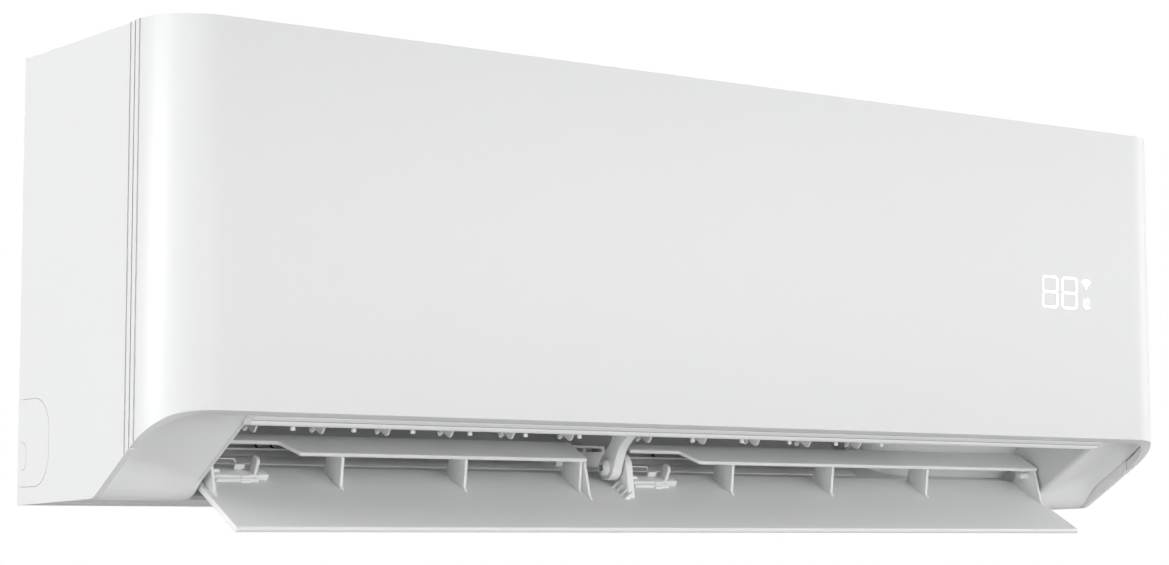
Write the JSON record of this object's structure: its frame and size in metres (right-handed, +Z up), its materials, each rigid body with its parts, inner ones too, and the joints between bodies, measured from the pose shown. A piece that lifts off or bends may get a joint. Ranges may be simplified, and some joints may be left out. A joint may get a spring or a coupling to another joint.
{
  "type": "mini split indoor unit",
  "caption": "Wall-hung air conditioner head: wrap-around front panel, sloped outlet with a wide louver and upper blades, side-to-side vanes, fan and coil inside.",
  "frame": {"origin": "on the wall plane, at the middle of the case's width and height", "axes": "+X to the right seen from the room, +Y into the wall, +Z up"},
  "size_m": [0.96, 0.219, 0.3391],
  "materials": {
    "shell": "smooth matte white",
    "trim": "fine matte white",
    "duct_plastic": "matte grey",
    "dark_plastic": "matte black",
    "steel": "zinc plated",
    "fins": "fine fins",
    "copper": "bare copper",
    "brass": "machined brass",
    "board": "coated board"
  },
  "bodies": {
    "case": {"wall_plate": "steel", "chassis": "duct_plastic", "casing": "shell", "front_frame": "trim", "wing_left": "trim", "wing_right": "trim", "pipe_cover_left": "shell", "pipe_cover_right": "shell", "pipe_cover_plug": "shell", "drain_pan": "duct_plastic", "duct_end_cover": "trim", "coil_front": "fins", "coil_upper": "fins", "coil_rear": "fins", "coil_plate_left": "steel", "coil_plate_right": "steel", "fan_bearing": "dark_plastic", "fan_motor": "steel", "motor_clamp": "duct_plastic", "electrical_box": "trim", "electrical_cover": "trim", "control_board": "board", "terminal_block": "dark_plastic", "display_module": "dark_plastic", "louver_arm": "trim", "pivot_pin_right": "trim", "louver_motor": "steel", "vane_motor_left": "steel", "vane_motor_right": "steel", "pipe_gas": "copper", "pipe_liquid": "copper", "flare_nut_gas": "brass", "flare_nut_liquid": "brass", "drain_spigot": "dark_plastic"},
    "front_panel": {"front_panel": "shell"},
    "louver": {"louver_panel": "trim", "louver_blade_left": "trim", "louver_blade_right": "trim", "snap_pin": "trim", "louver_shaft": "steel"},
    "latch_left": {"latch_left": "trim"},
    "latch_centre": {"latch_centre": "trim"},
    "fan": {"fan_rotor": "dark_plastic"},
    "filter_left": {"filter_left": "duct_plastic"},
    "filter_right": {"filter_right": "duct_plastic"},
    "manual_button": {"manual_button": "trim"},
    "tie_bar_left": {"tie_bar_left": "trim"},
    "tie_bar_right": {"tie_bar_right": "trim"},
    "vane_left_1": {"vane_left_1": "trim"},
    "vane_left_2": {"vane_left_2": "trim"},
    "vane_left_3": {"vane_left_3": "trim"},
    "vane_left_4": {"vane_left_4": "trim"},
    "vane_left_5": {"vane_left_5": "trim"},
    "vane_left_6": {"vane_left_6": "trim"},
    "vane_right_1": {"vane_right_1": "trim"},
    "vane_right_2": {"vane_right_2": "trim"},
    "vane_right_3": {"vane_right_3": "trim"},
    "vane_right_4": {"vane_right_4": "trim"},
    "vane_right_5": {"vane_right_5": "trim"}
  },
  "joints": [
    {"name": "front_panel_lift", "type": "hinge", "parent": "case", "child": "front_panel", "pos_m": [0, -0.206, 0.156], "axis": [-1, 0, 0], "range_deg": [0, 60]},
    {"name": "louver_swing", "type": "hinge", "parent": "case", "child": "louver", "pos_m": [0, -0.1244, -0.1297], "axis": [-1, 0, 0], "range_deg": [-10, 60]},
    {"name": "fan_spin", "type": "hinge", "parent": "case", "child": "fan", "pos_m": [0, -0.09, -0.026], "axis": [1, 0, 0], "continuous": true},
    {"name": "latch_left_slide", "type": "slide", "parent": "louver", "child": "latch_left", "axis": [1, 0, 0], "range_m": [0, 0.008]},
    {"name": "latch_centre_slide", "type": "slide", "parent": "louver", "child": "latch_centre", "axis": [1, 0, 0], "range_m": [0, 0.008]},
    {"name": "filter_left_lift", "type": "slide", "parent": "case", "child": "filter_left", "axis": [0, 0, 1], "range_m": [0, 0.06]},
    {"name": "filter_right_lift", "type": "slide", "parent": "case", "child": "filter_right", "axis": [0, 0, 1], "range_m": [0, 0.06]},
    {"name": "manual_button_press", "type": "slide", "parent": "case", "child": "manual_button", "axis": [0, 1, 0], "range_m": [0, 0.0015], "stiffness_N_per_m": 300, "springref_m": -0.002},
    {"name": "vane_left_swing", "type": "hinge", "parent": "case", "child": "vane_left_1", "pos_m": [-0.368, -0.14348, -0.09445], "axis": [0, -0.5299, 0.848], "range_deg": [-35, 35]},
    {"name": "vane_left_follow_2", "type": "hinge", "parent": "case", "child": "vane_left_2", "pos_m": [-0.314, -0.14348, -0.09445], "axis": [0, -0.5299, 0.848], "range_deg": [-35, 35]},
    {"name": "vane_left_follow_3", "type": "hinge", "parent": "case", "child": "vane_left_3", "pos_m": [-0.26, -0.14348, -0.09445], "axis": [0, -0.5299, 0.848], "range_deg": [-35, 35]},
    {"name": "vane_left_follow_4", "type": "hinge", "parent": "case", "child": "vane_left_4", "pos_m": [-0.206, -0.14348, -0.09445], "axis": [0, -0.5299, 0.848], "range_deg": [-35, 35]},
    {"name": "vane_left_follow_5", "type": "hinge", "parent": "case", "child": "vane_left_5", "pos_m": [-0.152, -0.14348, -0.09445], "axis": [0, -0.5299, 0.848], "range_deg": [-35, 35]},
    {"name": "vane_left_follow_6", "type": "hinge", "parent": "case", "child": "vane_left_6", "pos_m": [-0.098, -0.14348, -0.09445], "axis": [0, -0.5299, 0.848], "range_deg": [-35, 35]},
    {"name": "tie_bar_left_link", "type": "hinge", "parent": "vane_left_1", "child": "tie_bar_left", "pos_m": [-0.368, -0.11846, -0.10241], "axis": [0, -0.5299, 0.848], "range_deg": [-50, 50]},
    {"name": "vane_right_swing", "type": "hinge", "parent": "case", "child": "vane_right_1", "pos_m": [-0.024, -0.14348, -0.09445], "axis": [0, -0.5299, 0.848], "range_deg": [-35, 35]},
    {"name": "vane_right_follow_2", "type": "hinge", "parent": "case", "child": "vane_right_2", "pos_m": [0.03, -0.14348, -0.09445], "axis": [0, -0.5299, 0.848], "range_deg": [-35, 35]},
    {"name": "vane_right_follow_3", "type": "hinge", "parent": "case", "child": "vane_right_3", "pos_m": [0.084, -0.14348, -0.09445], "axis": [0, -0.5299, 0.848], "range_deg": [-35, 35]},
    {"name": "vane_right_follow_4", "type": "hinge", "parent": "case", "child": "vane_right_4", "pos_m": [0.138, -0.14348, -0.09445], "axis": [0, -0.5299, 0.848], "range_deg": [-35, 35]},
    {"name": "vane_right_follow_5", "type": "hinge", "parent": "case", "child": "vane_right_5", "pos_m": [0.192, -0.14348, -0.09445], "axis": [0, -0.5299, 0.848], "range_deg": [-35, 35]},
    {"name": "tie_bar_right_link", "type": "hinge", "parent": "vane_right_1", "child": "tie_bar_right", "pos_m": [-0.024, -0.11846, -0.10241], "axis": [0, -0.5299, 0.848], "range_deg": [-50, 50]}
  ],
  "couplings": [
    {"joint": "vane_left_follow_2", "follows": "vane_left_swing", "ratio": 1},
    {"joint": "vane_left_follow_3", "follows": "vane_left_swing", "ratio": 1},
    {"joint": "vane_left_follow_4", "follows": "vane_left_swing", "ratio": 1},
    {"joint": "vane_left_follow_5", "follows": "vane_left_swing", "ratio": 1},
    {"joint": "vane_left_follow_6", "follows": "vane_left_swing", "ratio": 1},
    {"joint": "tie_bar_left_link", "follows": "vane_left_swing", "ratio": -1},
    {"joint": "vane_right_follow_2", "follows": "vane_right_swing", "ratio": 1},
    {"joint": "vane_right_follow_3", "follows": "vane_right_swing", "ratio": 1},
    {"joint": "vane_right_follow_4", "follows": "vane_right_swing", "ratio": 1},
    {"joint": "vane_right_follow_5", "follows": "vane_right_swing", "ratio": 1},
    {"joint": "tie_bar_right_link", "follows": "vane_right_swing", "ratio": -1}
  ]
}
